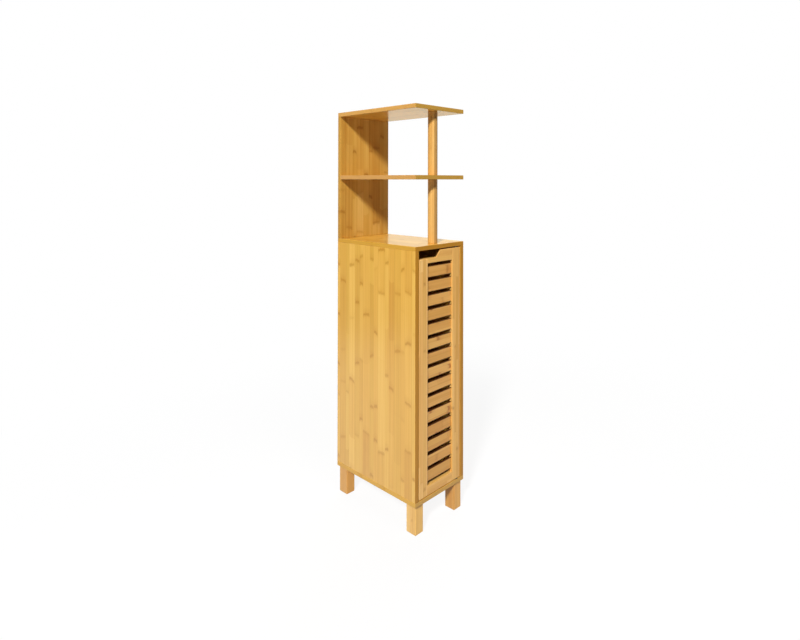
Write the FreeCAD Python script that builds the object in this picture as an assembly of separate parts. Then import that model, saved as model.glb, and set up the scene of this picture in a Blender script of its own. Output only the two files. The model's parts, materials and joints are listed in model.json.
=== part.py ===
import FreeCAD, Part
import math
import os

# Narrow bathroom cabinet in bamboo board, all sizes in millimetres.
# The origin is on the floor at the centre of the footprint.
# +X is to the right seen from the front, +Y goes to the back, +Z is up.

# Overall size and boards
WIDTH = 120.0
DEPTH = 240.0
HEIGHT = 770.0
BOARD = 8.0
CUPBOARD_HEIGHT = 462.0
BOARD_EASE = 0.7

# Legs
LEG_HEIGHT = 52.0
LEG_WIDE = 18.0
LEG_DEEP = 25.0
LEG_INSET = 3.5
LEG_EASE = 1.2

# Round posts under the two open shelves
POST_R = 9.0
POST_SETBACK = 22.0
POST_EASE = 0.6
STUD_R = 3.0
STUD_IN_POST = 14.0

# Back board of the cupboard
BACK_BOARD = 4.0
REBATE = 4.0
NAIL_R = 0.75
NAIL_HEAD_R = 1.6
NAIL_LENGTH = 13.0
NAILS_A_SIDE = 4
NAIL_END_GAP = 25.0

# Inner shelf and its pegs
INNER_SHELF_HEIGHT = 215.0
INNER_SHELF_FRONT_GAP = 6.0
PEG_R = 2.5
PEG_OUT = 9.0
PEG_INSET = 30.0

# Door frame
DOOR_THICK = 12.0
DOOR_SETBACK = 0.4
LATCH_GAP = 1.2
DOOR_TOP_GAP = 2.5
DOOR_BOTTOM_GAP = 1.5
STILE_WIDE = 20.0
TOP_RAIL_TALL = 22.0
BOTTOM_RAIL_TALL = 17.5
DOOR_EASE = 0.8

# Finger notch in the upper left corner of the door
NOTCH_DEEP = 13.5
NOTCH_LONG = 39.0
NOTCH_SLOPE = 10.0
NOTCH_LEAN = 10.0
NOTCH_ROUND = 5.0

# Slats
SLAT_COUNT = 15
SLAT_GAP = 6.0
SLAT_THICK = 4.0
SLAT_SETBACK = 3.0
SLAT_TENON = 5.0
SLAT_EASE = 0.6

# Door pivots
PIVOT_INSET = 8.0
PIVOT_DEEP = 4.5
SWING_CLEARANCE = 0.35
PIN_R = 2.0
PIN_IN_DOOR = 12.0
BUSH_WALL = 1.5
FLANGE_R = 4.6
FLANGE_THICK = 1.2

# Magnetic catch and strike plate
CATCH_DROP = 60.0
CATCH_WIDE = 12.0
CATCH_DEEP = 16.0
CATCH_TALL = 20.0
CATCH_EASE = 1.0
EAR_THICK = 3.0
EAR_DEEP = 10.0
EAR_TALL = 9.0
MAGNET_WIDE = 8.0
MAGNET_DEEP = 10.0
MAGNET_TALL = 14.0
MAGNET_PROUD = 0.3
MAGNET_GAP = 0.3
STRIKE_WIDE = 12.0
STRIKE_TALL = 38.0
STRIKE_THICK = 1.0
STRIKE_EDGE = 2.0
STRIKE_EASE = 2.0
SMALL_SCREW_R = 1.25
SMALL_SCREW_LENGTH = 6.5
PAN_HEAD_R = 2.5
PAN_HEAD_TALL = 1.5

# Dowels and screws
DOWEL_R = 2.5
DOWEL_LONG_END = 11.0
CORNER_DOWEL_SPREAD = 9.0
SCREW_R = 1.75
SCREW_HEAD_R = 3.5
SCREW_LENGTH = 35.0
LEG_SCREW_R = 2.5
LEG_SCREW_HEAD_R = 4.0
LEG_SCREW_LENGTH = 38.0
LEG_DOWEL_OFFSET = 8.0
SIDE_JOINT_INSET = 45.0
BACK_JOINT_INSET = 25.0
SOCKET_SHARE = 0.45
SOCKET_DEEP = 1.4

# Fits: glue and screw fits, running fit of the pivots, and the least cover over a blind hole
FIT = 0.05
GLUE = 0.1
RUNNING = 0.05
SHELF_FIT = 0.5
COVER = 2.5

# Places worked out from the sizes above
RIGHT = WIDTH / 2
FRONT = -DEPTH / 2
BACK = DEPTH / 2
INSIDE = RIGHT - BOARD
FLOOR_Z = LEG_HEIGHT + BOARD
TOP_Z = LEG_HEIGHT + CUPBOARD_HEIGHT
CEILING_Z = TOP_Z - BOARD
TOP_SHELF_Z = HEIGHT - BOARD
MIDDLE_SHELF_Z = (TOP_Z + TOP_SHELF_Z - BOARD) / 2
BACK_PANEL_Y = BACK - BOARD
BACK_BOARD_Y = BACK - BACK_BOARD
BLIND = BOARD - COVER
POST_Y = FRONT + POST_SETBACK
INNER_SHELF_Z = FLOOR_Z + INNER_SHELF_HEIGHT

# The door turns about the pins, so the hinge gap clears the front corner as it swings
HINGE_GAP = math.hypot(PIVOT_INSET, PIVOT_DEEP) - PIVOT_INSET + SWING_CLEARANCE
DOOR_LEFT = -INSIDE + LATCH_GAP
DOOR_RIGHT = INSIDE - HINGE_GAP
DOOR_Z = FLOOR_Z + DOOR_BOTTOM_GAP
DOOR_TOP = CEILING_Z - DOOR_TOP_GAP
DOOR_FRONT = FRONT + DOOR_SETBACK
DOOR_BACK = DOOR_FRONT + DOOR_THICK
DOOR_MIDDLE_Y = (DOOR_FRONT + DOOR_BACK) / 2
RAIL_LEFT = DOOR_LEFT + STILE_WIDE
RAIL_RIGHT = DOOR_RIGHT - STILE_WIDE
SLATS_TOP = DOOR_TOP - TOP_RAIL_TALL
SLATS_BOTTOM = DOOR_Z + BOTTOM_RAIL_TALL
SLAT_PITCH = (SLATS_TOP - SLATS_BOTTOM - SLAT_GAP) / SLAT_COUNT
SLAT_TALL = SLAT_PITCH - SLAT_GAP
SLAT_FRONT = DOOR_FRONT + SLAT_SETBACK
NOTCH_Z = DOOR_TOP - NOTCH_DEEP
PIVOT_X = DOOR_RIGHT - PIVOT_INSET
PIVOT_Y = DOOR_FRONT + PIVOT_DEEP
BUSH_R = PIN_R + RUNNING + BUSH_WALL
CORNER_DOWEL_IN_STILE = STILE_WIDE - PIVOT_INSET - PIN_R - COVER

UP = FreeCAD.Vector(0, 0, 1)
DOWN = FreeCAD.Vector(0, 0, -1)
TO_LEFT = FreeCAD.Vector(-1, 0, 0)
TO_RIGHT = FreeCAD.Vector(1, 0, 0)
TO_FRONT = FreeCAD.Vector(0, -1, 0)


# Basic shapes

def block(x0, x1, y0, y1, z0, z1):
    return Part.makeBox(x1 - x0, y1 - y0, z1 - z0, FreeCAD.Vector(x0, y0, z0))


def board(x0, x1, y0, y1, z0, z1, ease=BOARD_EASE):
    """A block with all its edges eased."""
    shape = block(x0, x1, y0, y1, z0, z1)
    return shape.makeFillet(ease, shape.Edges)


def rod(radius, length, start, direction):
    return Part.makeCylinder(radius, length, start, direction)


def turned(points):
    """Solid of revolution about Z from (radius, height) points that start and end on the axis."""
    corners = [FreeCAD.Vector(r, 0, z) for r, z in points]
    outline = Part.makePolygon(corners + corners[:1])
    return Part.Face(outline).revolve(FreeCAD.Vector(), UP, 360)


def place(shape, start, direction):
    """The shape's own +Z turned to the direction, and its origin moved to the start."""
    shape.Placement = FreeCAD.Placement(start, FreeCAD.Rotation(UP, direction))
    return shape


def group(shapes):
    return Part.makeCompound(shapes)


# Fasteners: each has a solid and the space it takes up in the wood

def countersunk(radius, head_r, length, room=0.0):
    """Flat-headed screw or nail with its head at the origin, pointing along +Z."""
    cone = head_r - radius
    points = [(0, -room), (head_r + room, -room), (radius + room, cone), (radius + room, length - radius),
              (0, length + room)]
    return turned(points)


def socket(head_r):
    """Six-sided recess for the key, sunk into a screw head."""
    across = 2 * head_r * SOCKET_SHARE
    corner = across / 2 / math.cos(math.pi / 6)
    ring = [FreeCAD.Vector(corner * math.cos(k * math.pi / 3), corner * math.sin(k * math.pi / 3), 0)
            for k in range(6)]
    return Part.Face(Part.makePolygon(ring + ring[:1])).extrude(UP * SOCKET_DEEP)


def wood_screw(start, direction):
    shape = countersunk(SCREW_R, SCREW_HEAD_R, SCREW_LENGTH).cut(socket(SCREW_HEAD_R))
    return place(shape, start, direction)


def wood_screw_hole(start, direction):
    return place(countersunk(SCREW_R, SCREW_HEAD_R, SCREW_LENGTH, FIT), start, direction)


def leg_screw(start, direction):
    shape = countersunk(LEG_SCREW_R, LEG_SCREW_HEAD_R, LEG_SCREW_LENGTH).cut(socket(LEG_SCREW_HEAD_R))
    return place(shape, start, direction)


def leg_screw_hole(start, direction):
    return place(countersunk(LEG_SCREW_R, LEG_SCREW_HEAD_R, LEG_SCREW_LENGTH, FIT), start, direction)


def nail(start, direction):
    return place(countersunk(NAIL_R, NAIL_HEAD_R, NAIL_LENGTH), start, direction)


def nail_hole(start, direction):
    return place(countersunk(NAIL_R, NAIL_HEAD_R, NAIL_LENGTH, FIT), start, direction)


def pan_screw(start, direction):
    """Small raised-head screw: the head stands behind the start point."""
    points = [(0, -PAN_HEAD_TALL), (PAN_HEAD_R * 0.7, -PAN_HEAD_TALL), (PAN_HEAD_R, 0), (SMALL_SCREW_R, 0),
              (SMALL_SCREW_R, SMALL_SCREW_LENGTH - SMALL_SCREW_R), (0, SMALL_SCREW_LENGTH)]
    return place(turned(points), start, direction)


def pan_screw_hole(start, direction):
    return rod(SMALL_SCREW_R + FIT, SMALL_SCREW_LENGTH + FIT, start, direction)


def dowel(short_end, start, direction):
    """Dowel across a joint at the start point, its short end behind it."""
    return rod(DOWEL_R, short_end + DOWEL_LONG_END, start - direction * short_end, direction)


def dowel_hole(short_end, start, direction):
    length = short_end + DOWEL_LONG_END + 2 * GLUE
    return rod(DOWEL_R + FIT, length, start - direction * (short_end + GLUE), direction)


# Where the fasteners go, as (start point, direction) pairs

def both_sides(x, y, z):
    return [FreeCAD.Vector(side * x, y, z) for side in (-1, 1)]


def carcass_dowel_places():
    """Cabinet top down into the side panels."""
    x = RIGHT - BOARD / 2
    rows = (FRONT + SIDE_JOINT_INSET, BACK - SIDE_JOINT_INSET)
    return [(p, DOWN) for y in rows for p in both_sides(x, y, CEILING_Z)]


def carcass_screw_places():
    """Bottom panel up into the side panels."""
    x = RIGHT - BOARD / 2
    rows = (FRONT + SIDE_JOINT_INSET, BACK - SIDE_JOINT_INSET)
    return [(p, UP) for y in rows for p in both_sides(x, y, LEG_HEIGHT)]


def upper_back_screw_places():
    """Cabinet top up into the upper back panel."""
    return [(p, UP) for p in both_sides(RIGHT - BACK_JOINT_INSET, BACK - BOARD / 2, CEILING_Z)]


def middle_shelf_screw_places():
    """Upper back panel forward into the middle shelf."""
    return [(p, TO_FRONT) for p in both_sides(RIGHT - BACK_JOINT_INSET, BACK, MIDDLE_SHELF_Z + BOARD / 2)]


def top_shelf_dowel_places():
    """Top shelf down into the upper back panel and the upper post."""
    back = both_sides(RIGHT - BACK_JOINT_INSET, BACK - BOARD / 2, TOP_SHELF_Z)
    return [(p, DOWN) for p in back + [FreeCAD.Vector(0, POST_Y, TOP_SHELF_Z)]]


def post_screw_place():
    return FreeCAD.Vector(0, POST_Y, CEILING_Z), UP


def leg_centres():
    """Leg name to its centre on the floor."""
    x = RIGHT - LEG_INSET - LEG_WIDE / 2
    y = BACK - LEG_INSET - LEG_DEEP / 2
    corners = {"front_left": (-x, -y), "front_right": (x, -y), "back_left": (-x, y), "back_right": (x, y)}
    return {name: FreeCAD.Vector(cx, cy, 0) for name, (cx, cy) in corners.items()}


def leg_screw_places():
    return [(c + UP * FLOOR_Z, DOWN) for c in leg_centres().values()]


def leg_dowel_places():
    """Each leg's dowel lies behind or before its screw, towards the middle of the cabinet."""
    places = []
    for c in leg_centres().values():
        towards_middle = -math.copysign(LEG_DOWEL_OFFSET, c.y)
        places.append((FreeCAD.Vector(c.x, c.y + towards_middle, LEG_HEIGHT), DOWN))
    return places


def nail_places():
    x = INSIDE + REBATE / 2
    low = FLOOR_Z + NAIL_END_GAP
    step = (CEILING_Z - NAIL_END_GAP - low) / (NAILS_A_SIDE - 1)
    return [(p, TO_FRONT) for k in range(NAILS_A_SIDE) for p in both_sides(x, BACK, low + k * step)]


def peg_rows():
    return (DOOR_BACK + INNER_SHELF_FRONT_GAP + PEG_INSET, BACK_BOARD_Y - PEG_INSET)


def peg_places(side):
    x = side * (INSIDE - PEG_OUT)
    direction = TO_RIGHT * side
    return [(FreeCAD.Vector(x, y, INNER_SHELF_Z - PEG_R), direction) for y in peg_rows()]


def corner_dowel_places(side, z_list):
    """Door rail ends outward into a stile: the short end is in the stile."""
    x = RAIL_LEFT if side < 0 else RAIL_RIGHT
    return [(FreeCAD.Vector(x, DOOR_MIDDLE_Y, z), TO_RIGHT * -side) for z in z_list]


def rail_pair(z0, z1):
    middle = (z0 + z1) / 2
    return (middle - CORNER_DOWEL_SPREAD / 2, middle + CORNER_DOWEL_SPREAD / 2)


def bottom_rail_dowel_places(side):
    return corner_dowel_places(side, rail_pair(DOOR_Z, SLATS_BOTTOM))


def top_rail_dowel_places(side):
    """The notch leaves room for only one dowel on the left."""
    if side < 0:
        return corner_dowel_places(side, [(SLATS_TOP + NOTCH_Z) / 2])
    return corner_dowel_places(side, rail_pair(SLATS_TOP, DOOR_TOP))


def holes(places, make):
    return [make(*p) for p in places]


def dowel_holes(places, short_end):
    return [dowel_hole(short_end, *p) for p in places]


# Carcass

def peg_hole(start, direction):
    return rod(PEG_R + FIT, PEG_OUT + BLIND + GLUE, start, direction)


def rebate_block(side):
    """Space for the edge of the back board, running out past the panel's open faces."""
    x0, x1 = sorted((side * (INSIDE - REBATE), side * (INSIDE + REBATE)))
    return block(x0, x1, BACK_BOARD_Y, BACK + REBATE, FLOOR_Z - REBATE, CEILING_Z + REBATE)


def side_panel(side):
    """Upright panel between the top and bottom panels, rebated at the back for the back board."""
    x0, x1 = sorted((side * INSIDE, side * RIGHT))
    shape = board(x0, x1, FRONT, BACK, FLOOR_Z, CEILING_Z).cut(rebate_block(side))
    cuts = dowel_holes(carcass_dowel_places(), BLIND)
    cuts += holes(carcass_screw_places(), wood_screw_hole)
    cuts += holes(nail_places(), nail_hole)
    cuts += holes(peg_places(side), peg_hole)
    if side < 0:
        cuts += holes(catch_screw_places(), pan_screw_hole)
    return shape.cut(cuts)


def cabinet_top_panel():
    shape = board(-RIGHT, RIGHT, FRONT, BACK, CEILING_Z, TOP_Z)
    cuts = dowel_holes(carcass_dowel_places(), BLIND)
    cuts += holes(upper_back_screw_places(), wood_screw_hole)
    cuts += [wood_screw_hole(*post_screw_place()), bush_hole(CEILING_Z, UP)]
    return shape.cut(cuts)


def cabinet_bottom_panel():
    shape = board(-RIGHT, RIGHT, FRONT, BACK, LEG_HEIGHT, FLOOR_Z)
    cuts = holes(carcass_screw_places(), wood_screw_hole)
    cuts += holes(leg_screw_places(), leg_screw_hole)
    cuts += dowel_holes(leg_dowel_places(), BLIND)
    cuts += [bush_hole(FLOOR_Z, DOWN)]
    return shape.cut(cuts)


def cabinet_back_board():
    x = INSIDE + REBATE - GLUE
    shape = block(-x, x, BACK_BOARD_Y, BACK, FLOOR_Z, CEILING_Z)
    return shape.cut(holes(nail_places(), nail_hole))


def leg(centre):
    x0, x1 = centre.x - LEG_WIDE / 2, centre.x + LEG_WIDE / 2
    y0, y1 = centre.y - LEG_DEEP / 2, centre.y + LEG_DEEP / 2
    shape = board(x0, x1, y0, y1, 0, LEG_HEIGHT, LEG_EASE)
    return shape.cut(holes(leg_screw_places(), leg_screw_hole) + dowel_holes(leg_dowel_places(), BLIND))


def inner_shelf():
    x = INSIDE - SHELF_FIT
    front = DOOR_BACK + INNER_SHELF_FRONT_GAP
    return board(-x, x, front, BACK_BOARD_Y - SHELF_FIT, INNER_SHELF_Z, INNER_SHELF_Z + BOARD)


def shelf_pegs():
    pegs = [rod(PEG_R, PEG_OUT + BLIND, *p) for side in (-1, 1) for p in peg_places(side)]
    return group(pegs)


# Open shelves

def upper_back_panel():
    shape = board(-RIGHT, RIGHT, BACK_PANEL_Y, BACK, TOP_Z, TOP_SHELF_Z)
    cuts = holes(upper_back_screw_places() + middle_shelf_screw_places(), wood_screw_hole)
    cuts += dowel_holes(top_shelf_dowel_places(), BLIND)
    return shape.cut(cuts)


def middle_shelf():
    shape = board(-RIGHT, RIGHT, FRONT, BACK_PANEL_Y, MIDDLE_SHELF_Z, MIDDLE_SHELF_Z + BOARD)
    return shape.cut(holes(middle_shelf_screw_places(), wood_screw_hole) + [stud_rod(FIT)])


def top_shelf():
    shape = board(-RIGHT, RIGHT, FRONT, BACK, TOP_SHELF_Z, HEIGHT)
    return shape.cut(dowel_holes(top_shelf_dowel_places(), BLIND))


def stud_rod(room=0.0):
    start = FreeCAD.Vector(0, POST_Y, MIDDLE_SHELF_Z - STUD_IN_POST - room)
    return rod(STUD_R + room, BOARD + 2 * STUD_IN_POST + 2 * room, start, UP)


def round_post(z0, z1):
    shape = rod(POST_R, z1 - z0, FreeCAD.Vector(0, POST_Y, z0), UP)
    rims = [e for e in shape.Edges if len(e.Vertexes) == 1]
    return shape.makeChamfer(POST_EASE, rims)


def lower_post():
    return round_post(TOP_Z, MIDDLE_SHELF_Z).cut([stud_rod(FIT), wood_screw_hole(*post_screw_place())])


def upper_post():
    cuts = [stud_rod(FIT)] + dowel_holes(top_shelf_dowel_places(), BLIND)
    return round_post(MIDDLE_SHELF_Z + BOARD, TOP_SHELF_Z).cut(cuts)


# Door

def slat_top(index):
    return SLATS_TOP - SLAT_GAP - index * SLAT_PITCH


def slat(index):
    """Slat with its two ends let into the stiles, and a gap above and below it."""
    top = slat_top(index)
    x0, x1 = RAIL_LEFT - SLAT_TENON, RAIL_RIGHT + SLAT_TENON
    y0, y1 = SLAT_FRONT, SLAT_FRONT + SLAT_THICK
    return board(x0, x1, y0, y1, top - SLAT_TALL, top, SLAT_EASE)


def mortises():
    """One long slot block for each slat, which cuts both stiles."""
    x0, x1 = RAIL_LEFT - SLAT_TENON - GLUE, RAIL_RIGHT + SLAT_TENON + GLUE
    y0, y1 = SLAT_FRONT - GLUE, SLAT_FRONT + SLAT_THICK + GLUE
    tops = [slat_top(k) for k in range(SLAT_COUNT)]
    return [block(x0, x1, y0, y1, z - SLAT_TALL - GLUE, z + GLUE) for z in tops]


def pin_hole(z, direction):
    return rod(PIN_R + FIT, PIN_IN_DOOR + GLUE, FreeCAD.Vector(PIVOT_X, PIVOT_Y, z), direction)


def left_stile():
    shape = board(DOOR_LEFT, RAIL_LEFT, DOOR_FRONT, DOOR_BACK, DOOR_Z, NOTCH_Z, DOOR_EASE)
    places = bottom_rail_dowel_places(-1) + top_rail_dowel_places(-1)
    cuts = mortises() + dowel_holes(places, CORNER_DOWEL_IN_STILE)
    return shape.cut(cuts + holes(strike_screw_places(), pan_screw_hole))


def right_stile():
    shape = board(RAIL_RIGHT, DOOR_RIGHT, DOOR_FRONT, DOOR_BACK, DOOR_Z, DOOR_TOP, DOOR_EASE)
    places = bottom_rail_dowel_places(1) + top_rail_dowel_places(1)
    cuts = mortises() + dowel_holes(places, CORNER_DOWEL_IN_STILE)
    return shape.cut(cuts + [pin_hole(DOOR_Z, UP), pin_hole(DOOR_TOP, DOWN)])


def bottom_rail():
    shape = board(RAIL_LEFT, RAIL_RIGHT, DOOR_FRONT, DOOR_BACK, DOOR_Z, SLATS_BOTTOM, DOOR_EASE)
    places = bottom_rail_dowel_places(-1) + bottom_rail_dowel_places(1)
    return shape.cut(dowel_holes(places, CORNER_DOWEL_IN_STILE))


def notched_outline(y, lean):
    """Outline of the top rail: low on the left, then a slope up to full height."""
    foot = DOOR_LEFT + NOTCH_LONG + lean
    points = [(RAIL_LEFT, SLATS_TOP), (RAIL_RIGHT, SLATS_TOP), (RAIL_RIGHT, DOOR_TOP),
              (foot + NOTCH_SLOPE, DOOR_TOP), (foot, NOTCH_Z), (RAIL_LEFT, NOTCH_Z)]
    return Part.makePolygon([FreeCAD.Vector(x, y, z) for x, z in points + points[:1]])


def top_rail():
    """Rail with the notch, whose rounded slope leans back so that a fingertip can hook behind it."""
    outlines = [notched_outline(DOOR_FRONT, 0), notched_outline(DOOR_BACK, NOTCH_LEAN)]
    shape = Part.makeLoft(outlines, True, True)
    foot = DOOR_LEFT + NOTCH_LONG + NOTCH_LEAN / 2
    ends = [(foot, NOTCH_Z), (foot + NOTCH_SLOPE, DOOR_TOP)]
    slope_edges = [e for e in shape.Edges if any(is_cross_edge(e, *end) for end in ends)]
    shape = shape.makeFillet(NOTCH_ROUND, slope_edges)
    shape = shape.makeFillet(DOOR_EASE, [e for e in shape.Edges if not runs_across(e)])
    places = top_rail_dowel_places(-1) + top_rail_dowel_places(1)
    return shape.cut(dowel_holes(places, CORNER_DOWEL_IN_STILE))


def runs_across(edge):
    """True for an edge that runs through the door's thickness."""
    ends = [v.Point for v in edge.Vertexes]
    return len(ends) == 2 and abs(ends[0].y - ends[1].y) > DOOR_THICK / 2


def is_cross_edge(edge, x, z):
    middle = edge.CenterOfMass
    return runs_across(edge) and math.hypot(middle.x - x, middle.z - z) < FIT


def door_dowels():
    places = [p for side in (-1, 1) for p in bottom_rail_dowel_places(side) + top_rail_dowel_places(side)]
    return group([dowel(CORNER_DOWEL_IN_STILE, *p) for p in places])


# Door pivots

def pivot_pin(z, gap, into_door):
    """Pin from its seat in the door, across the gap, into the bush of the panel."""
    start = FreeCAD.Vector(PIVOT_X, PIVOT_Y, z) + into_door * PIN_IN_DOOR
    return rod(PIN_R, PIN_IN_DOOR + gap + BLIND - GLUE, start, into_door * -1)


def bush_hole(z, into_panel):
    return rod(BUSH_R + FIT, BLIND + GLUE, FreeCAD.Vector(PIVOT_X, PIVOT_Y, z), into_panel)


def pivot_bush(z, into_panel):
    bore = PIN_R + RUNNING
    points = [(bore, -FLANGE_THICK), (FLANGE_R, -FLANGE_THICK), (FLANGE_R, 0), (BUSH_R, 0), (BUSH_R, BLIND),
              (bore, BLIND)]
    return place(turned(points), FreeCAD.Vector(PIVOT_X, PIVOT_Y, z), into_panel)


# Magnetic catch, on the inner face of the left side panel

CATCH_Z = DOOR_TOP - CATCH_DROP
CATCH_FRONT = DOOR_BACK + STRIKE_THICK + MAGNET_GAP + MAGNET_PROUD
CATCH_X = -INSIDE + CATCH_WIDE / 2
EAR_Z = CATCH_TALL / 2 + EAR_TALL / 2
STRIKE_LEFT = DOOR_LEFT + STRIKE_EDGE
STRIKE_SCREW_Z = STRIKE_TALL / 2 - PAN_HEAD_R - STRIKE_EDGE


def catch_screw_places():
    x = -INSIDE + EAR_THICK
    y = CATCH_FRONT + CATCH_DEEP / 2
    return [(FreeCAD.Vector(x, y, CATCH_Z + side * EAR_Z), TO_LEFT) for side in (-1, 1)]


def strike_screw_places():
    x = STRIKE_LEFT + STRIKE_WIDE / 2
    y = DOOR_BACK + STRIKE_THICK
    return [(FreeCAD.Vector(x, y, CATCH_Z + side * STRIKE_SCREW_Z), TO_FRONT) for side in (-1, 1)]


def magnet_block(room=0.0):
    x0, x1 = CATCH_X - MAGNET_WIDE / 2 - room, CATCH_X + MAGNET_WIDE / 2 + room
    y0 = CATCH_FRONT - MAGNET_PROUD
    z0, z1 = CATCH_Z - MAGNET_TALL / 2 - room, CATCH_Z + MAGNET_TALL / 2 + room
    return block(x0, x1, y0, y0 + MAGNET_DEEP + room, z0, z1)


def catch_housing():
    """Moulded body with a pocket for the magnet, and an ear above and below for its screws."""
    y0, y1 = CATCH_FRONT, CATCH_FRONT + CATCH_DEEP
    z0, z1 = CATCH_Z - CATCH_TALL / 2, CATCH_Z + CATCH_TALL / 2
    body = board(-INSIDE, -INSIDE + CATCH_WIDE, y0, y1, z0, z1, CATCH_EASE)
    middle = (y0 + y1) / 2
    ear = block(-INSIDE, -INSIDE + EAR_THICK, middle - EAR_DEEP / 2, middle + EAR_DEEP / 2,
                z0 - EAR_TALL, z1 + EAR_TALL)
    rims = [e for e in ear.Edges if e.BoundBox.XLength > EAR_THICK / 2]
    ear = ear.makeFillet(STRIKE_EASE, rims)
    return body.fuse(ear).removeSplitter().cut([magnet_block(FIT)] + holes(catch_screw_places(), pan_screw_hole))


def strike_plate():
    shape = block(STRIKE_LEFT, STRIKE_LEFT + STRIKE_WIDE, DOOR_BACK, DOOR_BACK + STRIKE_THICK,
                  CATCH_Z - STRIKE_TALL / 2, CATCH_Z + STRIKE_TALL / 2)
    rims = [e for e in shape.Edges if e.BoundBox.YLength > STRIKE_THICK / 2]
    return shape.makeFillet(STRIKE_EASE, rims).cut(holes(strike_screw_places(), pan_screw_hole))


# The whole cabinet, node by node

def carcass():
    nodes = {
        "left_side_panel": side_panel(-1),
        "right_side_panel": side_panel(1),
        "cabinet_top_panel": cabinet_top_panel(),
        "cabinet_bottom_panel": cabinet_bottom_panel(),
        "cabinet_back_board": cabinet_back_board(),
        "inner_shelf": inner_shelf(),
        "shelf_pegs": shelf_pegs(),
        "carcass_dowels": group([dowel(BLIND, *p) for p in carcass_dowel_places()]),
        "carcass_screws": group(holes(carcass_screw_places(), wood_screw)),
        "back_board_nails": group(holes(nail_places(), nail)),
        "leg_screws": group(holes(leg_screw_places(), leg_screw)),
        "leg_dowels": group([dowel(BLIND, *p) for p in leg_dowel_places()]),
    }
    for name, centre in leg_centres().items():
        nodes["leg_" + name] = leg(centre)
    return nodes


def open_shelves():
    return {
        "upper_back_panel": upper_back_panel(),
        "middle_shelf": middle_shelf(),
        "top_shelf": top_shelf(),
        "lower_post": lower_post(),
        "upper_post": upper_post(),
        "post_stud": stud_rod(),
        "post_screw": wood_screw(*post_screw_place()),
        "upper_back_screws": group(holes(upper_back_screw_places(), wood_screw)),
        "middle_shelf_screws": group(holes(middle_shelf_screw_places(), wood_screw)),
        "top_shelf_dowels": group([dowel(BLIND, *p) for p in top_shelf_dowel_places()]),
    }


def door():
    nodes = {
        "door_left_stile": left_stile(),
        "door_right_stile": right_stile(),
        "door_top_rail": top_rail(),
        "door_bottom_rail": bottom_rail(),
        "door_dowels": door_dowels(),
    }
    for index in range(SLAT_COUNT):
        nodes["door_slat_%02d" % (index + 1)] = slat(index)
    return nodes


def door_hardware():
    return {
        "upper_pivot_pin": pivot_pin(DOOR_TOP, DOOR_TOP_GAP, DOWN),
        "lower_pivot_pin": pivot_pin(DOOR_Z, DOOR_BOTTOM_GAP, UP),
        "upper_pivot_bush": pivot_bush(CEILING_Z, UP),
        "lower_pivot_bush": pivot_bush(FLOOR_Z, DOWN),
        "catch_housing": catch_housing(),
        "catch_magnet": magnet_block(),
        "catch_screws": group(holes(catch_screw_places(), pan_screw)),
        "strike_plate": strike_plate(),
        "strike_screws": group(holes(strike_screw_places(), pan_screw)),
    }


def main():
    os.makedirs("parts", exist_ok=True)
    nodes = {**carcass(), **open_shelves(), **door(), **door_hardware()}
    for name, shape in nodes.items():
        shape.exportStep("parts/" + name + ".step")


main()
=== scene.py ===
import json
import math

import bmesh
import bpy
from bpy.props import FloatProperty, FloatVectorProperty, PointerProperty
from mathutils import Euler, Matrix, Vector


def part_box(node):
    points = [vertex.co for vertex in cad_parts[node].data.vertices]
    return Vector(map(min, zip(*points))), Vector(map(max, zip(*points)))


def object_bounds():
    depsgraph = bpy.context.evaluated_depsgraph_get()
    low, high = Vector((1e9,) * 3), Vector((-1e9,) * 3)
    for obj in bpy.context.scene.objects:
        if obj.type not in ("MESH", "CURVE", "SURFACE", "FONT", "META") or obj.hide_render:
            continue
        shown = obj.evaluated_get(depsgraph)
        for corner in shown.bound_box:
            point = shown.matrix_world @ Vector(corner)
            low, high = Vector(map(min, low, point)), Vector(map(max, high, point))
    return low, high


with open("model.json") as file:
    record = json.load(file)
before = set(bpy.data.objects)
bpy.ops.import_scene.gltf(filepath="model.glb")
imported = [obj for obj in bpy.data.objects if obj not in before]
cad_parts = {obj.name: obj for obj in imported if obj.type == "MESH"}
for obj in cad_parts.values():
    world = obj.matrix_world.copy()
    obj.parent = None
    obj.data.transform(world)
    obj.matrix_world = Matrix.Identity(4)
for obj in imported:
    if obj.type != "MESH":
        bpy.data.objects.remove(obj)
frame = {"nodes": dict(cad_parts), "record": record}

bl_info = {
    "name": "Narrow bamboo cabinet",
    "version": (1, 0, 0),
    "blender": (4, 5, 0),
    "location": "View3D > Sidebar > Cabinet",
    "description": "Finishes a narrow bamboo bathroom cabinet and sets it on a white stage",
    "category": "Material",
}

CAD_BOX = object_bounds()
X, Y, Z = 0, 1, 2
WHITE = (1.0, 1.0, 1.0)


# Settings that a user would change

def from_display(red, green, blue):
    """Scene colour of an 8-bit display colour."""
    def linear(level):
        value = level / 255
        return value / 12.92 if value <= 0.04045 else ((value + 0.055) / 1.055) ** 2.4
    return linear(red), linear(green), linear(blue)


def tone(name, description, red, green, blue):
    """Colour setting whose default is an 8-bit display colour."""
    return FloatVectorProperty(name=name, description=description, subtype="COLOR", min=0.0, max=1.0,
                               default=from_display(red, green, blue))


def length(name, description, default):
    """Setting for a length in metres."""
    return FloatProperty(name=name, description=description, default=default, min=0.0, subtype="DISTANCE",
                         unit="LENGTH", precision=4)


def share(name, description, default):
    """Setting for a part of the whole, from 0 to 1."""
    return FloatProperty(name=name, description=description, default=default, min=0.0, max=1.0,
                         subtype="FACTOR")


def light(name, description, default):
    """Setting for an amount of light, 1 for a white face that looks white."""
    return FloatProperty(name=name, description=description, default=default, min=0.0)


def angle(name, description, degrees):
    """Setting for an angle."""
    return FloatProperty(name=name, description=description, default=math.radians(degrees),
                         subtype="ANGLE", unit="ROTATION")


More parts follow.
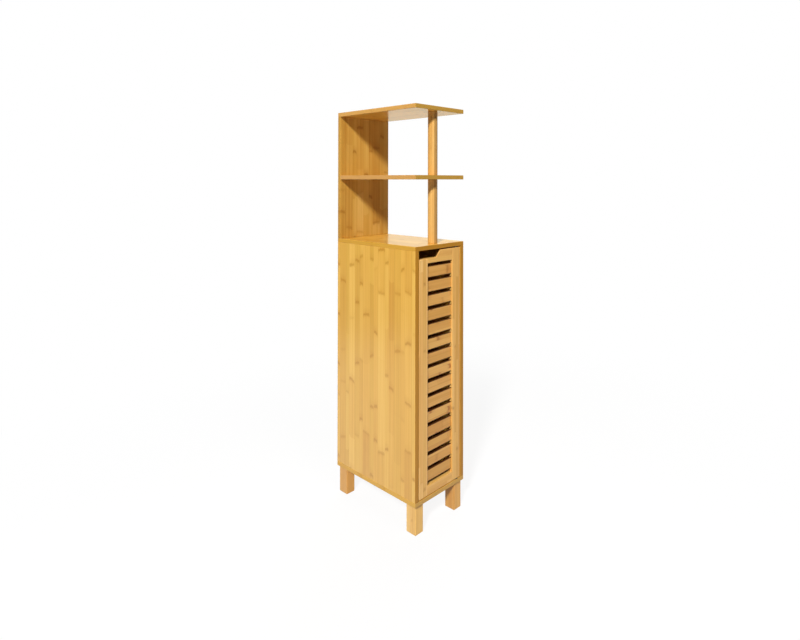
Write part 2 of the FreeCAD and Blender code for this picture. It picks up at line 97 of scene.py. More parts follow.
def heading(name, description, default):
    """Setting for a direction in space."""
    return FloatVectorProperty(name=name, description=description, size=3, subtype="DIRECTION",
                               default=default)


class BoardLook(bpy.types.PropertyGroup):
    """Bamboo board of the panels and shelves."""
    pale: tone("Pale strip", "Lightest strips of the board", 242, 192, 88)
    middle: tone("Middle strip", "Most of the board", 231, 176, 70)
    deep: tone("Deep strip", "Darkest strips of the board", 215, 156, 54)
    yellow: tone("Yellow strip", "Strips with a greener cast", 222, 178, 64)
    knot: tone("Knot", "Marks where the cane had its joints", 196, 134, 22)
    edge: tone("Cut edge", "Front and back edges of the upright boards", 176, 122, 36)
    nosing: tone("Nosing", "Front and back edges of the boards that lie flat", 186, 146, 66)
    sill: tone("Sill", "Front and back edges of the cabinet's bottom", 204, 162, 88)
    band: tone("Side band", "Long edges of the cabinet's top and bottom", 208, 158, 56)
    lip: tone("Shelf lip", "Long edges of the open shelves", 213, 162, 97)
    strip: length("Strip width", "Width of one glued strip", 0.0155)
    spacing: length("Knot spacing", "Distance between knots along a strip", 0.105)
    knot_share: share("Knot share", "How many of the knots show", 0.85)
    coat: share("Lacquer", "Weight of the clear lacquer", 0.68)
    side_coat: share("Side lacquer", "Weight of the clear lacquer on the side panels", 1.0)
    coat_rough: share("Lacquer roughness", "Blur of reflections in the lacquer", 0.13)


class BackPanelLook(bpy.types.PropertyGroup):
    """Bamboo board of the upper back panel, darker than the rest."""
    pale: tone("Pale strip", "Lightest strips of the panel", 218, 175, 92)
    middle: tone("Middle strip", "Most of the panel", 204, 157, 72)
    deep: tone("Deep strip", "Darkest strips of the panel", 184, 132, 50)
    yellow: tone("Yellow strip", "Strips with a greener cast", 201, 158, 64)
    knot: tone("Knot", "Marks where the cane had its joints", 164, 110, 36)
    strip: length("Strip width", "Width of one glued strip", 0.0135)
    spacing: length("Knot spacing", "Distance between knots along a strip", 0.08)
    knot_share: share("Knot share", "How many of the knots show", 0.85)
    coat: share("Lacquer", "Weight of the clear lacquer", 0.2)
    coat_rough: share("Lacquer roughness", "Blur of reflections in the lacquer", 0.16)


class DoorFrameLook(bpy.types.PropertyGroup):
    """Solid bamboo of the door's stiles and rails."""
    pale: tone("Pale lamella", "Lightest lamellae of the frame", 244, 196, 120)
    middle: tone("Middle lamella", "Most of the frame", 232, 177, 96)
    deep: tone("Deep lamella", "Darkest lamellae of the frame", 212, 152, 72)
    yellow: tone("Yellow lamella", "Lamellae with a greener cast", 222, 177, 86)
    knot: tone("Knot", "Marks where the cane had its joints", 176, 118, 52)
    strip: length("Lamella width", "Width of one glued lamella", 0.0058)
    spacing: length("Knot spacing", "Distance between knots along a lamella", 0.19)
    knot_share: share("Knot share", "How many of the knots show", 0.45)
    coat: share("Lacquer", "Weight of the clear lacquer", 0.5)
    coat_rough: share("Lacquer roughness", "Blur of reflections in the lacquer", 0.2)


class SlatLook(bpy.types.PropertyGroup):
    """Solid bamboo of the door's slats."""
    pale: tone("Pale strip", "Lightest strips of the slats", 230, 177, 98)
    middle: tone("Middle strip", "Most of each slat", 219, 162, 83)
    deep: tone("Deep strip", "Darkest strips of the slats", 203, 143, 66)
    yellow: tone("Yellow strip", "Strips with a greener cast", 207, 159, 70)
    knot: tone("Knot", "Marks where the cane had its joints", 158, 88, 36)
    # Painted shade: this near-black tone on the slats' upper and lower edges stands in for the shade in the
    # gaps between the slats.
    edge: tone("Cut edge", "Upper and lower edges of the slats", 30, 16, 7)
    strip: length("Strip width", "Width of one glued strip", 0.0132)
    spacing: length("Knot spacing", "Distance between knots along a strip", 0.07)
    knot_share: share("Knot share", "How many of the knots show", 0.85)
    coat: share("Lacquer", "Weight of the clear lacquer", 0.5)
    coat_rough: share("Lacquer roughness", "Blur of reflections in the lacquer", 0.2)


class LegLook(bpy.types.PropertyGroup):
    """Solid bamboo of the legs."""
    pale: tone("Pale lamella", "Lightest lamellae", 248, 202, 126)
    middle: tone("Middle lamella", "Most of each leg", 238, 186, 104)
    deep: tone("Deep lamella", "Darkest lamellae", 220, 160, 80)
    yellow: tone("Yellow lamella", "Lamellae with a greener cast", 230, 186, 94)
    knot: tone("Knot", "Marks where the cane had its joints", 182, 122, 46)
    # Painted shade: this darker tone on the sides of the front right leg stands in for the shade that falls
    # on them under the cabinet.
    edge: tone("Edge grain", "Darker sides of a leg cut across its lamellae", 186, 128, 62)
    strip: length("Lamella width", "Width of one glued lamella", 0.0072)
    spacing: length("Knot spacing", "Distance between knots along a lamella", 0.16)
    knot_share: share("Knot share", "How many of the knots show", 0.4)
    coat: share("Lacquer", "Weight of the clear lacquer", 0.5)
    coat_rough: share("Lacquer roughness", "Blur of reflections in the lacquer", 0.2)


class PostLook(bpy.types.PropertyGroup):
    """Solid bamboo of the round posts."""
    pale: tone("Pale lamella", "Lightest lamellae", 231, 186, 112)
    middle: tone("Middle lamella", "Most of each post", 219, 169, 92)
    deep: tone("Deep lamella", "Darkest lamellae", 198, 142, 67)
    yellow: tone("Yellow lamella", "Lamellae with a greener cast", 209, 167, 83)
    knot: tone("Knot", "Marks where the cane had its joints", 160, 98, 34)
    # Partly painted shade: this tone darkens the right part of each post, away from the key lamp, as well as
    # a darker lamella.
    heart_and_shade: tone("Heart lamella", "Darker lamella on the right of each post", 190, 147, 82)
    strip: length("Lamella width", "Width of one glued lamella", 0.0064)
    spacing: length("Knot spacing", "Distance between knots along a lamella", 0.12)
    knot_share: share("Knot share", "How many of the knots show", 0.5)
    coat: share("Lacquer", "Weight of the clear lacquer", 0.4)
    coat_rough: share("Lacquer roughness", "Blur of reflections in the lacquer", 0.25)


class HardwareLook(bpy.types.PropertyGroup):
    """Fasteners, pivots and the catch."""
    steel: tone("Zinc-plated steel", "Screws, nails, pins and the strike plate", 205, 207, 210)
    dowel: tone("Beech", "Glued dowels", 214, 178, 128)
    nylon: tone("Nylon", "Pivot bushes", 62, 40, 24)
    plastic: tone("Catch body", "Moulded body of the magnetic catch", 138, 96, 58)
    magnet: tone("Magnet", "Face of the magnet", 44, 44, 47)


class StageLook(bpy.types.PropertyGroup):
    """Camera, lamps and white surroundings."""
    camera_place: FloatVectorProperty(name="Camera place", description="Where the camera stands", size=3,
                                      subtype="XYZ", unit="LENGTH", default=(-0.6934, -0.8626, 0.6338))
    camera_turn: angle("Camera turn", "Heading of the camera from +Y towards +X", 52.24)
    camera_dip: angle("Camera dip", "How far the camera looks down", -0.38)
    lens: FloatProperty(name="Focal length", description="Lens of the camera in millimetres", default=30.3,
                        min=1.0)
    shift: FloatVectorProperty(name="Lens shift", description="Shift that keeps upright edges upright",
                               size=2, default=(-0.2, -0.225))
    key_level: light("Key level", "Light of the left lamp on a face square to it", 1.165)
    key_towards: heading("Key direction", "Direction in which the left light travels", (0.64, 0.45, -0.58))
    key_distance: length("Key distance", "Distance of the left lamp", 6.0)
    key_size: length("Key size", "Width of the left lamp", 0.8)
    front_level: light("Front level", "Light of the front lamp on a face square to it", 0.17)
    front_towards: heading("Front direction", "Direction in which the front light travels", (0.1, 0.6, -0.8))
    front_distance: length("Front distance", "Distance of the front lamp", 5.0)
    front_size: length("Front size", "Width of the front lamp", 1.6)
    fill_level: light("Fill level", "Light that the surroundings send from every side", 0.03)
    backdrop_towards: heading("Backdrop direction", "Where the white backdrop stands", (0.79, 0.61, 0.0))
    backdrop_level: light("Backdrop level", "Light that the white backdrop sends back", 2.2)
    backdrop_tint: tone("Backdrop tint", "Warm white of the backdrop in reflections", 255, 250, 226)
    floor_bounce: share("Floor bounce", "How much of its light the floor sends back", 0.4)
    floor_glow: share("Floor white", "How far the floor's own white hides the shadow on it", 0.88)
    clear_radius: length("Shadow radius", "Distance from the object at which the floor is plain white", 1.1)
    mirror_radius: length("Mirrored radius", "Distance to which the lacquer mirrors the white floor", 1.6)


LOOKS = {"cabinet_board": BoardLook, "cabinet_back_panel": BackPanelLook, "cabinet_frame": DoorFrameLook,
         "cabinet_slat": SlatLook, "cabinet_leg": LegLook, "cabinet_post": PostLook,
         "cabinet_hardware": HardwareLook, "cabinet_stage": StageLook}


# Shader arithmetic

class Socket:
    """A shader socket that Python can reckon with: each step adds a node."""

    def __init__(self, paint, link):
        self.paint = paint
        self.link = link

    def math(self, operation, *others):
        return self.paint.math(operation, self, *others)

    def __add__(self, other):
        return self.math("ADD", other)

    __radd__ = __add__

    def __sub__(self, other):
        return self.math("SUBTRACT", other)

    def __rsub__(self, other):
        return self.paint.math("SUBTRACT", other, self)

    def __mul__(self, other):
        return self.math("MULTIPLY", other)

    __rmul__ = __mul__

    def __truediv__(self, other):
        return self.math("DIVIDE", other)

    def __abs__(self):
        return self.math("ABSOLUTE")

    def floor(self):
        return self.math("FLOOR")

    def sine(self):
        return self.math("SINE")

    def at_least(self, other):
        return self.math("MAXIMUM", other)

    def at_most(self, other):
        return self.math("MINIMUM", other)

    def rise(self, low, high):
        """0 up to low, 1 from high, and a smooth rise between."""
        return self.paint.node("MapRange", {"interpolation_type": "SMOOTHSTEP"},
                               {"Value": self, "From Min": low, "From Max": high})

    def fall(self, low, high):
        """1 up to low, 0 from high, and a smooth fall between."""
        return 1 - self.rise(low, high)

    def parts(self):
        """The three numbers of a vector or a colour."""
        split = self.paint.node("SeparateXYZ", {}, {"Vector": self})
        return [Socket(self.paint, output) for output in split.link.node.outputs]


class Paint:
    """A material or a world under construction."""

    def __init__(self, owner):
        """Clears the node tree of a new material or world."""
        self.owner = owner
        owner.use_nodes = True
        self.tree = owner.node_tree
        self.tree.nodes.clear()

    @classmethod
    def material(cls, name):
        return cls(bpy.data.materials.new(name))

    def node(self, kind, settings, sockets, output=0):
        """Adds a node, with its settings first, and returns one of its outputs."""
        made = self.tree.nodes.new("ShaderNode" + kind)
        for key, value in settings.items():
            if key == "stops":
                self.set_stops(made.color_ramp, value)
            else:
                setattr(made, key, value)
        for key, value in sockets.items():
            if isinstance(value, Socket):
                self.tree.links.new(value.link, made.inputs[key])
            else:
                made.inputs[key].default_value = value
        return Socket(self, made.outputs[output]) if made.outputs else made

    def set_stops(self, ramp, stops):
        """Puts a colour at each of a ramp's places."""
        while len(ramp.elements) < len(stops):
            ramp.elements.new(1.0)
        for element, (place, colour) in zip(ramp.elements, stops):
            element.position = place
            element.color = (*colour, 1.0)

    def math(self, operation, *values):
        return self.node("Math", {"operation": operation}, dict(enumerate(values)))

    def vector(self, x, y, z):
        return self.node("CombineXYZ", {}, {"X": x, "Y": y, "Z": z})

    def place(self):
        """Object coordinates as three numbers in metres."""
        return self.node("TexCoord", {}, {}, "Object").parts()

    def dice(self, first, second):
        """Three steady random numbers for a pair of whole numbers."""
        pair = self.vector(first, second, 0.0)
        return self.node("TexWhiteNoise", {"noise_dimensions": "2D"}, {"Vector": pair}, "Color").parts()

    def noise(self, vector, scale, detail=2.0):
        """Soft noise from 0 to 1."""
        return self.node("TexNoise", {}, {"Vector": vector, "Scale": scale, "Detail": detail})

    def mix(self, factor, first, second):
        """Colour between two colours."""
        first, second = [c if isinstance(c, Socket) else (*c, 1.0) for c in (first, second)]
        return self.node("Mix", {"data_type": "RGBA"}, {0: factor, 6: first, 7: second}, 2)

    def surface(self, sockets):
        """Ends the material in a Principled surface and returns the material."""
        shader = self.node("BsdfPrincipled", {}, sockets)
        self.node("OutputMaterial", {}, {"Surface": shader})
        return self.owner


# Bamboo

# Strips: how far the patterns of two pieces lie apart, and how uneven the strips are
PIECE_SHIFT = 3.71
WIDTH_RATE = 2.3
WIDTH_SWING = 0.2

# Steps that set the random numbers of the strips, the knots and the laths apart
STRIP_DRAW = 0.5
KNOT_DRAW = 1.37
LATH_DRAW = 0.31

# Knots: spread of their first place, room for each, slant, bow and unevenness
START_SPREAD = 9
KNOT_FIRST = 0.2
KNOT_ROOM = 0.6
KNOT_SLANT = 0.7
KNOT_BOW = 2.0
KNOT_WANDER = 0.006
WANDER_FINENESS = 220

# Distances in metres between which a knot's line, its halo and a glued joint fade
KNOT_LINE = (0.0006, 0.0047)
KNOT_HALO = (0.001, 0.014)
HALO_OFFSET = 0.003
GLUED_JOINT = (0.0001, 0.0006)

# Shares of a strip's width, from its middle, between which a knot's line ends
KNOT_ENDS = (0.36, 0.5)

# Span of a random number over which a knot comes into sight
SIGHT_SPAN = 0.6

# Fineness of the noise over the strips and along them
FIBRE = (620, 9)
STREAK = (270, 3.5)
CLOUD = (40, 6)
FLECK = (300, 30)
FIBRE_DETAIL = 3.0

# What each pattern adds to the level of the tone; the offset brings its average to the middle tone
SHADE_WEIGHT = 0.3
DRIFT_WEIGHT = 0.42
FIBRE_WEIGHT = 0.34
STREAK_WEIGHT = 0.76
CLOUD_WEIGHT = 0.3
LEVEL_OFFSET = -0.56

# Levels of the pale, middle and deep tones
TONE_PLACES = (0.1, 0.5, 0.92)

# Which strips turn yellower, and how far
YELLOW_SPAN = (0.4, 1.0)
YELLOW_WEIGHT = 0.22

# How far the tone of the knots comes through
LINE_WEIGHT = 0.6
HALO_WEIGHT = 0.2
JOINT_WEIGHT = 0.16

# Surface under the lacquer; the relief is in metres
WOOD_ROUGHNESS = 0.36
FIBRE_ROUGHNESS = 0.12
WOOD_SPECULAR = 0.2
RELIEF = 0.0004
RELIEF_STRENGTH = 0.12
FIBRE_RELIEF = 0.4
KNOT_RELIEF = 0.5

# How much of the lacquer a cut edge soaks up, and how strongly it is flecked
EDGE_SOAK = 0.7
EDGE_FLECKS = 0.45


def strips(paint, look, over, seed):
    """Number of the strip, place within it from 0 to 1, and its random start, shade and cast."""
    lane = over / look.strip + seed * PIECE_SHIFT
    lane = lane + (lane * WIDTH_RATE).sine() * WIDTH_SWING
    index = lane.floor()
    return index, lane - index, paint.dice(index, seed + STRIP_DRAW)


def knots(paint, look, laid, index, inside, start, seed):
    """Dark line and soft halo of the knots, and the random tone of each lath between two of them.
    laid holds the coordinates along, over and through the strips."""
    along, over, through = laid
    run = along / look.spacing + start * START_SPREAD
    cell = run.floor()
    where, slant, chance = paint.dice(index * KNOT_DRAW + seed, cell)
    wander = paint.noise(paint.vector(over, along, through), WANDER_FINENESS) - 0.5
    aside = inside - 0.5
    past = (run - cell - KNOT_FIRST - where * KNOT_ROOM) * look.spacing + wander * KNOT_WANDER
    past = past + aside * (slant - 0.5) * (KNOT_SLANT * look.strip)
    past = past + aside * aside * (chance - 0.5) * (KNOT_BOW * look.strip)
    hidden = 1 - look.knot_share
    seen = chance.rise(hidden, hidden + SIGHT_SPAN)
    line = abs(past).fall(*KNOT_LINE) * abs(aside).fall(*KNOT_ENDS) * seen
    halo = abs(past - HALO_OFFSET).fall(*KNOT_HALO) * seen
    lath = cell + past.math("GREATER_THAN", 0.0)
    drift, _, _ = paint.dice(index * KNOT_DRAW + seed + LATH_DRAW, lath)
    return line, halo, drift


def drawn_out(paint, laid, fineness, detail=2.0):
    """Noise drawn out along the grain."""
    along, over, through = laid
    across_grain, with_grain = fineness
    grained = paint.vector(over * across_grain, along * with_grain, through * across_grain)
    return paint.noise(grained, 1.0, detail)


def bamboo(name, look, grain, across, seed, edges=None, deeper=0.0, coat=None):
    """Laminated bamboo: strips side by side, each with its own tone, knots and fibres.
    grain and across are the axes along and over the strips; edges gives masks with their tones;
    deeper moves every strip towards the darkest tone; coat is the weight of the lacquer."""
    paint = Paint.material(name)
    place = paint.place()
    depth = X + Y + Z - grain - across
    laid = place[grain], place[across], place[depth]
    index, inside, (start, shade, cast) = strips(paint, look, place[across], seed)
    knot_line, knot_halo, drift = knots(paint, look, laid, index, inside, start, seed)
    joint = (inside.at_most(1 - inside) * look.strip).fall(*GLUED_JOINT)
    fibre = drawn_out(paint, laid, FIBRE, FIBRE_DETAIL)
    streak = drawn_out(paint, laid, STREAK)
    cloud = drawn_out(paint, laid, CLOUD)

    level = shade * SHADE_WEIGHT + drift * DRIFT_WEIGHT + fibre * FIBRE_WEIGHT
    level = level + streak * STREAK_WEIGHT + cloud * CLOUD_WEIGHT + (deeper + LEVEL_OFFSET)
    stops = list(zip(TONE_PLACES, (look.pale, look.middle, look.deep)))
    colour = paint.node("ValToRGB", {"stops": stops}, {"Fac": level})
    colour = paint.mix(cast.rise(*YELLOW_SPAN) * YELLOW_WEIGHT, colour, tuple(look.yellow))
    darkened = knot_line * LINE_WEIGHT + knot_halo * HALO_WEIGHT + joint * JOINT_WEIGHT
    colour = paint.mix(darkened, colour, tuple(look.knot))
    coat = look.coat if coat is None else coat
    for mask, edge_tone in edges(place, look) if edges else ():
        fleck = drawn_out(paint, laid, FLECK)
        edge = paint.mix(fleck * EDGE_FLECKS, edge_tone, tuple(look.knot))
        colour = paint.mix(mask, colour, edge)
        coat = coat * (1 - mask * EDGE_SOAK)

    height = fibre * FIBRE_RELIEF - joint - knot_line * KNOT_RELIEF
    bump = paint.node("Bump", {}, {"Strength": RELIEF_STRENGTH, "Distance": RELIEF, "Height": height})
    return paint.surface({"Base Color": colour, "Roughness": fibre * FIBRE_ROUGHNESS + WOOD_ROUGHNESS,
                          "Specular IOR Level": WOOD_SPECULAR, "Coat Weight": coat,
                          "Coat Roughness": look.coat_rough, "Normal": bump})


# Width of the eased edges of the boards, and the places across a post where its darker right part starts, a
# darker lamella with painted shade on the side away from the key lamp
EASE = 0.0011
DARK_SIDE_START = (-0.0044, -0.0032)
DARK_SIDE_STRENGTH = 0.9


def ends(value, low, high):
    """1 on the eased edges at both ends of a board."""
    return (value - low).at_most(high - value).fall(EASE * 0.5, EASE)


def cut_edges(node, **tones):
    """Masks and tones of a piece's faces at both ends of an axis, given as axis=(name of the tone,
    strength): the boards' cut edges, and painted shade on the slats' edges and on the front right leg.
    """
    low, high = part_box(node)

    def edges(place, look):
        for name, (edge_tone, strength) in tones.items():
            axis = "xyz".index(name)
            yield ends(place[axis], low[axis], high[axis]) * strength, tuple(getattr(look, edge_tone))
    return edges


def lamella_and_painted_shade(place, look):
    """Mask and tone of the darker right part of a post: a darker lamella, and painted shade on the side away
    from the key lamp.
    """
    yield place[X].rise(*DARK_SIDE_START) * DARK_SIDE_STRENGTH, tuple(look.heart_and_shade)


def finish(node, material):
    """Puts a material in every slot of a CAD node."""
    for slot in frame["nodes"][node].material_slots:
        slot.material = material


def nodes_named(start):
    """Names of the CAD nodes that begin alike, in order."""
    return sorted(name for name in frame["nodes"] if name.startswith(start))


# Axes along and over the strips of each board
BOARD_GRAIN = {
    "left_side_panel": (Z, Y),
    "right_side_panel": (Z, Y),
    "cabinet_top_panel": (Y, X),
    "cabinet_bottom_panel": (Y, X),
    "middle_shelf": (Y, X),
    "top_shelf": (Y, X),
    "inner_shelf": (Y, X),
}

# Cut edges by axis, with the name of the tone and its strength
UPRIGHT_EDGES = {"y": ("edge", 1.0)}
BOARD_EDGES = {
    "left_side_panel": UPRIGHT_EDGES,
    "right_side_panel": UPRIGHT_EDGES,
    "cabinet_top_panel": {"x": ("band", 0.7), "y": ("edge", 1.0)},
    "cabinet_bottom_panel": {"x": ("band", 0.45), "y": ("sill", 1.0)},
    "middle_shelf": {"x": ("lip", 1.0), "y": ("nosing", 1.0)},
    "top_shelf": {"x": ("lip", 0.8), "y": ("nosing", 1.0)},
    "inner_shelf": {"y": ("nosing", 1.0)},
}
# Painted shade: the front right leg's sides along X take the darker edge tone at half strength, for the
# shade under the cabinet.
LEG_PAINTED_SHADE = {"leg_front_right": {"x": ("edge", 0.5)}}

# How much deeper or paler single pieces are than their neighbours
STILE_DEEPER = {"door_left_stile": -0.12, "door_right_stile": 0.14}
# Painted light and shade on the legs: the front left leg is paler, and the others, in the cabinet's shade,
# are darker.
LEG_PAINTED_LIGHT_AND_SHADE = {"leg_front_left": -0.14, "leg_front_right": 0.35, "leg_back_left": 0.35, "leg_back_right": 0.2}
SLAT_VARIETY = 0.14
SLAT_TURN = 2.4

# Seeds that set the patterns of the pieces apart; the boards of BOARD_GRAIN count from 0
UPPER_BACK_SEED = 2
BACK_BOARD_SEED = 8
STILE_SEED = 20
RAIL_SEED = 22
SLAT_SEED = 30
LEG_SEED = 40
POST_SEED = 50


class CABINET_OT_finish_boards(bpy.types.Operator):
    """Give the panels and shelves their bamboo boards"""
    bl_idname = "cabinet.finish_boards"
    bl_label = "Finish boards"

    def execute(self, context):
        look = context.scene.cabinet_board
        for seed, (node, (grain, across)) in enumerate(BOARD_GRAIN.items()):
            edges = cut_edges(node, **BOARD_EDGES[node])
            coat = look.side_coat if "side_panel" in node else look.coat
            finish(node, bamboo("board_" + node, look, grain, across, seed, edges, coat=coat))
        finish("cabinet_back_board", bamboo("board_cabinet_back", look, Z, X, BACK_BOARD_SEED))
        back_look = context.scene.cabinet_back_panel
        finish("upper_back_panel", bamboo("board_upper_back", back_look, Z, X, UPPER_BACK_SEED))
        return {"FINISHED"}


class CABINET_OT_finish_door_frame(bpy.types.Operator):
    """Give the door's stiles and rails their lamellae"""
    bl_idname = "cabinet.finish_door_frame"
    bl_label = "Finish door frame"

    def execute(self, context):
        look = context.scene.cabinet_frame
        for seed, (node, deeper) in enumerate(STILE_DEEPER.items()):
            finish(node, bamboo("frame_" + node, look, Z, X, STILE_SEED + seed, deeper=deeper))
        for seed, node in enumerate(("door_top_rail", "door_bottom_rail")):
            finish(node, bamboo("frame_" + node, look, X, Z, RAIL_SEED + seed))
        return {"FINISHED"}


class CABINET_OT_finish_slats(bpy.types.Operator):
    """Give the door's slats their grain"""
    bl_idname = "cabinet.finish_slats"
    bl_label = "Finish slats"

    def execute(self, context):
        look = context.scene.cabinet_slat
        for seed, node in enumerate(nodes_named("door_slat_")):
            deeper = SLAT_VARIETY * math.sin(seed * SLAT_TURN)
            # Painted shade: the slats' upper and lower edges take the near-black tone, for the shade in the
            # gaps between them.
            edges = cut_edges(node, z=("edge", 1.0))
            finish(node, bamboo("bamboo_" + node, look, X, Z, SLAT_SEED + seed, edges, deeper))
        return {"FINISHED"}


class CABINET_OT_finish_legs_and_posts(bpy.types.Operator):
    """Give the legs and the round posts their lamellae"""
    bl_idname = "cabinet.finish_legs_and_posts"
    bl_label = "Finish legs and posts"

    def execute(self, context):
        look = context.scene.cabinet_leg
        for seed, (node, deeper) in enumerate(LEG_PAINTED_LIGHT_AND_SHADE.items()):
            edges = cut_edges(node, **LEG_PAINTED_SHADE.get(node, {}))
            finish(node, bamboo("timber_" + node, look, Z, Y, LEG_SEED + seed, edges, deeper))
        look = context.scene.cabinet_post
        for seed, node in enumerate(("lower_post", "upper_post")):
            # The posts' right parts are darkened: a darker lamella and painted shade.
            finish(node, bamboo("timber_" + node, look, Z, X, POST_SEED + seed, lamella_and_painted_shade))
        return {"FINISHED"}


# Hardware

# Fineness of the brush marks, the sparked plastic and the beech flecks along X, Y and Z
BRUSH = (4000, 400, 4000)
SPARKED = (2600, 2600, 2600)
BEECH = (900, 900, 160)

# Steel: weight of the brush marks, brightness of the darkest, and what they add to the roughness
BRUSH_WEIGHT = 0.5
BRUSH_DARKEST = 0.72
BRUSH_ROUGHNESS = 0.2

# Plastic: the same for its sparked texture, and the relief in metres
SPARK_WEIGHT = 0.25
SPARK_DARKEST = 0.8
SPARK_ROUGHNESS = 0.1
SPARK_RELIEF = 0.0002
SPARK_RELIEF_STRENGTH = 0.1

# Beech: noise between which flecks come up, brightness of the darkest, and what they add to the roughness
FLECK_SPAN = (0.5, 0.7)
FLECK_DARKEST = 0.7
FLECK_ROUGHNESS = 0.15

# Smoothest finish of each material
STEEL_ROUGHNESS = 0.24
NYLON_ROUGHNESS = 0.45
PLASTIC_ROUGHNESS = 0.4
MAGNET_ROUGHNESS = 0.55
BEECH_ROUGHNESS = 0.6


def marks(paint, fineness):
    """Noise with its own fineness along each axis."""
    stretched = [value * fine for value, fine in zip(paint.place(), fineness)]
    return paint.noise(paint.vector(*stretched), 1.0)


def darker(colour, part):
    """Colour at a part of its brightness."""
    return tuple(value * part for value in colour)


def steel(colour):
    """Zinc plating, finely brushed."""
    paint = Paint.material("zinc_steel")
    brush = marks(paint, BRUSH)
    shade = paint.mix(brush * BRUSH_WEIGHT, colour, darker(colour, BRUSH_DARKEST))
    return paint.surface({"Base Color": shade, "Metallic": 1.0,
                          "Roughness": brush * BRUSH_ROUGHNESS + STEEL_ROUGHNESS})


def moulded(name, colour, roughness):
    """Moulded plastic with a fine sparked texture."""
    paint = Paint.material(name)
    grains = marks(paint, SPARKED)
    shade = paint.mix(grains * SPARK_WEIGHT, colour, darker(colour, SPARK_DARKEST))
    bump = paint.node("Bump", {}, {"Strength": SPARK_RELIEF_STRENGTH, "Distance": SPARK_RELIEF,
                                   "Height": grains})
    return paint.surface({"Base Color": shade, "Roughness": grains * SPARK_ROUGHNESS + roughness,
                          "Normal": bump})


def beech(colour):
    """Raw beech with short flecks along the dowels."""
    paint = Paint.material("beech_dowel")
    fleck = marks(paint, BEECH)
    shade = paint.mix(fleck.rise(*FLECK_SPAN), colour, darker(colour, FLECK_DARKEST))
    return paint.surface({"Base Color": shade, "Roughness": fleck * FLECK_ROUGHNESS + BEECH_ROUGHNESS})


class CABINET_OT_finish_hardware(bpy.types.Operator):
    """Give the fasteners, pivots and catch their metal and plastic"""
    bl_idname = "cabinet.finish_hardware"
    bl_label = "Finish hardware"

    def execute(self, context):
        look = context.scene.cabinet_hardware
        finishes = {
            "zinc_steel": steel(tuple(look.steel)),
            "beech_dowel": beech(tuple(look.dowel)),
            "brown_nylon": moulded("brown_nylon", tuple(look.nylon), NYLON_ROUGHNESS),
            "catch_plastic": moulded("catch_plastic", tuple(look.plastic), PLASTIC_ROUGHNESS),
            "dark_magnet": moulded("dark_magnet", tuple(look.magnet), MAGNET_ROUGHNESS),
        }
        for part in frame["record"]["subparts"]:
            if part["material_slot"] in finishes:
                finish(part["node"], finishes[part["material_slot"]])
        return {"FINISHED"}


# Stage

# Upright picture of a small-format camera, in millimetres
SENSOR_WIDTH = 24
SENSOR_HEIGHT = 36

# Side of the floor in metres and the white of its paint
FLOOR_SIDE = 24
FLOOR_WHITE = 0.95

# How squarely a direction has to face the backdrop to start to count, and to count in full
BACKDROP_LIGHT = (0.45, 0.9)
BACKDROP_MIRRORED = (-0.1, 0.3)
BACKDROP_FLOOR = (0.1, 0.4)

# Share of the fill that reflections leave out, and share of a radius inside which the floor stays the same
UNMIRRORED_FILL = 0.7
CORE = 0.3


def add_to_scene(context, thing):
    """Links a new object to the scene and returns it."""
    context.scene.collection.objects.link(thing)
    return thing


def ray(paint, way):
    """1 for one kind of ray, such as Is Camera Ray."""
    return paint.node("LightPath", {}, {}, way)


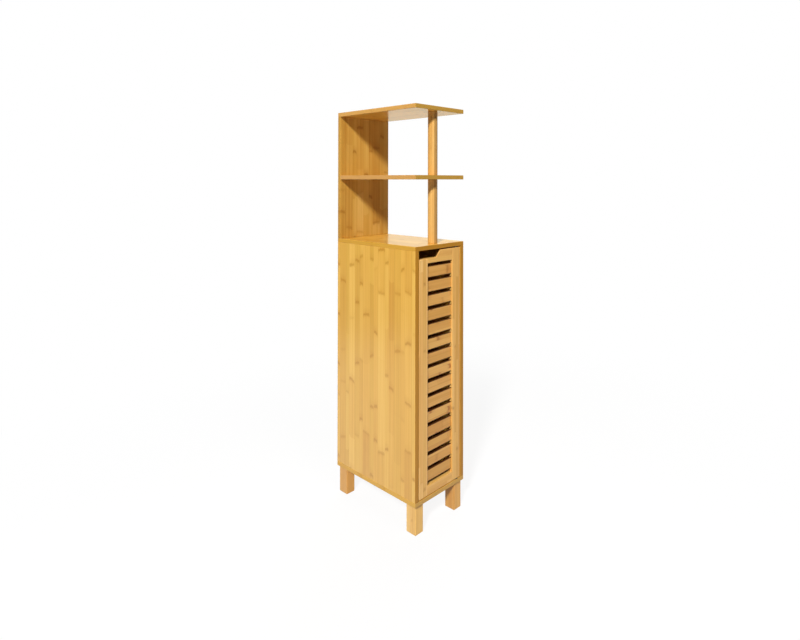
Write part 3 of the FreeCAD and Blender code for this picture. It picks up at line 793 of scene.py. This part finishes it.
class CABINET_OT_set_stage(bpy.types.Operator):
    """Set up the camera, the lamps and the white floor"""
    bl_idname = "cabinet.set_stage"
    bl_label = "Set stage"

    def execute(self, context):
        look = context.scene.cabinet_stage
        context.scene.view_settings.view_transform = "Standard"
        self.set_camera(context, look)
        self.set_lamp(context, "key", look.key_level, look.key_towards, look.key_distance, look.key_size)
        self.set_lamp(context, "front", look.front_level, look.front_towards, look.front_distance,
                      look.front_size)
        self.set_world(context, look)
        self.set_floor(context, look)
        return {"FINISHED"}

    def set_camera(self, context, look):
        data = bpy.data.cameras.new("camera")
        data.sensor_fit = "VERTICAL"
        data.sensor_width = SENSOR_WIDTH
        data.sensor_height = SENSOR_HEIGHT
        data.lens = look.lens
        data.shift_x, data.shift_y = look.shift
        camera = add_to_scene(context, bpy.data.objects.new("camera", data))
        camera.location = look.camera_place
        camera.rotation_euler = Euler((math.pi / 2 - look.camera_dip, 0, -look.camera_turn))
        context.scene.camera = camera

    def set_lamp(self, context, name, level, towards, distance, size):
        """Round soft lamp whose level is the brightness of a white face that looks at it."""
        low, high = CAD_BOX
        towards = Vector(towards).normalized()
        data = bpy.data.lights.new(name, "AREA")
        data.shape = "DISK"
        data.size = size
        data.energy = level * (math.pi * distance) ** 2
        lamp = add_to_scene(context, bpy.data.objects.new(name, data))
        lamp.location = (low + high) / 2 - towards * distance
        lamp.rotation_euler = towards.to_track_quat("-Z", "Y").to_euler()

    def set_world(self, context, look):
        """White for the eye, white behind the object in reflections, and light from the backdrop
        with an even fill."""
        world = bpy.data.worlds.new("surroundings")
        context.scene.world = world
        paint = Paint(world)
        direction = paint.node("TexCoord", {}, {}, "Generated")
        behind = Vector(look.backdrop_towards).normalized()
        facing = paint.node("VectorMath", {"operation": "DOT_PRODUCT"}, {0: direction, 1: behind}, "Value")
        glossy = ray(paint, "Is Glossy Ray")
        white = ray(paint, "Is Camera Ray").at_least(ray(paint, "Is Transmission Ray"))
        white = white.at_least(glossy * facing.rise(*BACKDROP_MIRRORED))
        fill = facing.rise(*BACKDROP_LIGHT) * look.backdrop_level + look.fill_level
        strength = white + (1 - white) * (1 - glossy * UNMIRRORED_FILL) * fill
        colour = paint.mix(glossy, WHITE, tuple(look.backdrop_tint))
        shader = paint.node("Background", {}, {"Color": colour, "Strength": strength})
        paint.node("OutputWorld", {}, {"Surface": shader})

    def set_floor(self, context, look):
        """Matt white floor that keeps the object's shadow near it and is plain white farther out."""
        paint = Paint.material("floor_white")
        x, y, _ = paint.place()
        distance = (x * x + y * y).math("SQRT")
        behind = Vector(look.backdrop_towards).normalized()
        facing = (x * behind.x + y * behind.y) / distance
        backdrop = facing.rise(*BACKDROP_FLOOR)
        mirrored = distance.fall(look.mirror_radius * CORE, look.mirror_radius).at_least(backdrop)
        glossy = ray(paint, "Is Glossy Ray")
        direct = ray(paint, "Is Camera Ray").at_least(ray(paint, "Is Transmission Ray"))
        direct = direct.at_least(glossy * mirrored)
        far = distance.rise(look.clear_radius * CORE, look.clear_radius)
        plain = (far * (1 - look.floor_glow) + look.floor_glow) * direct
        level = direct * (FLOOR_WHITE - look.floor_bounce) + look.floor_bounce
        grey = paint.node("CombineColor", {}, {"Red": level, "Green": level, "Blue": level})
        lit = paint.node("BsdfDiffuse", {}, {"Color": grey})
        colour = paint.mix(glossy * backdrop, WHITE, tuple(look.backdrop_tint))
        glow = paint.node("Emission", {}, {"Color": colour, "Strength": 1.0})
        shader = paint.node("MixShader", {}, {0: plain, 1: lit, 2: glow})
        paint.node("OutputMaterial", {}, {"Surface": shader})

        shape = bmesh.new()
        bmesh.ops.create_grid(shape, x_segments=2, y_segments=2, size=FLOOR_SIDE / 2)
        mesh = bpy.data.meshes.new("floor")
        shape.to_mesh(mesh)
        shape.free()
        mesh.materials.append(paint.owner)
        floor = add_to_scene(context, bpy.data.objects.new("floor", mesh))


class CABINET_PT_panel(bpy.types.Panel):
    """The cabinet's finishes and stage"""
    bl_idname = "CABINET_PT_panel"
    bl_label = "Narrow bamboo cabinet"
    bl_space_type = "VIEW_3D"
    bl_region_type = "UI"
    bl_category = "Cabinet"

    def draw(self, context):
        for step in STEPS:
            self.layout.operator(step.bl_idname)
        for name in LOOKS:
            look = getattr(context.scene, name)
            box = self.layout.box()
            box.label(text=name.replace("_", " "))
            for key in look.__annotations__:
                box.prop(look, key)


STEPS = (
    CABINET_OT_finish_boards,
    CABINET_OT_finish_door_frame,
    CABINET_OT_finish_slats,
    CABINET_OT_finish_legs_and_posts,
    CABINET_OT_finish_hardware,
    CABINET_OT_set_stage,
)
CLASSES = (*LOOKS.values(), *STEPS, CABINET_PT_panel)


def register():
    for cls in CLASSES:
        bpy.utils.register_class(cls)
    for name, cls in LOOKS.items():
        setattr(bpy.types.Scene, name, PointerProperty(type=cls))


def unregister():
    for name in LOOKS:
        delattr(bpy.types.Scene, name)
    for cls in reversed(CLASSES):
        bpy.utils.unregister_class(cls)


def main():
    register()
    bpy.ops.cabinet.finish_boards()
    bpy.ops.cabinet.finish_door_frame()
    bpy.ops.cabinet.finish_slats()
    bpy.ops.cabinet.finish_legs_and_posts()
    bpy.ops.cabinet.finish_hardware()
    bpy.ops.cabinet.set_stage()


if __name__ == "__main__":
    main()
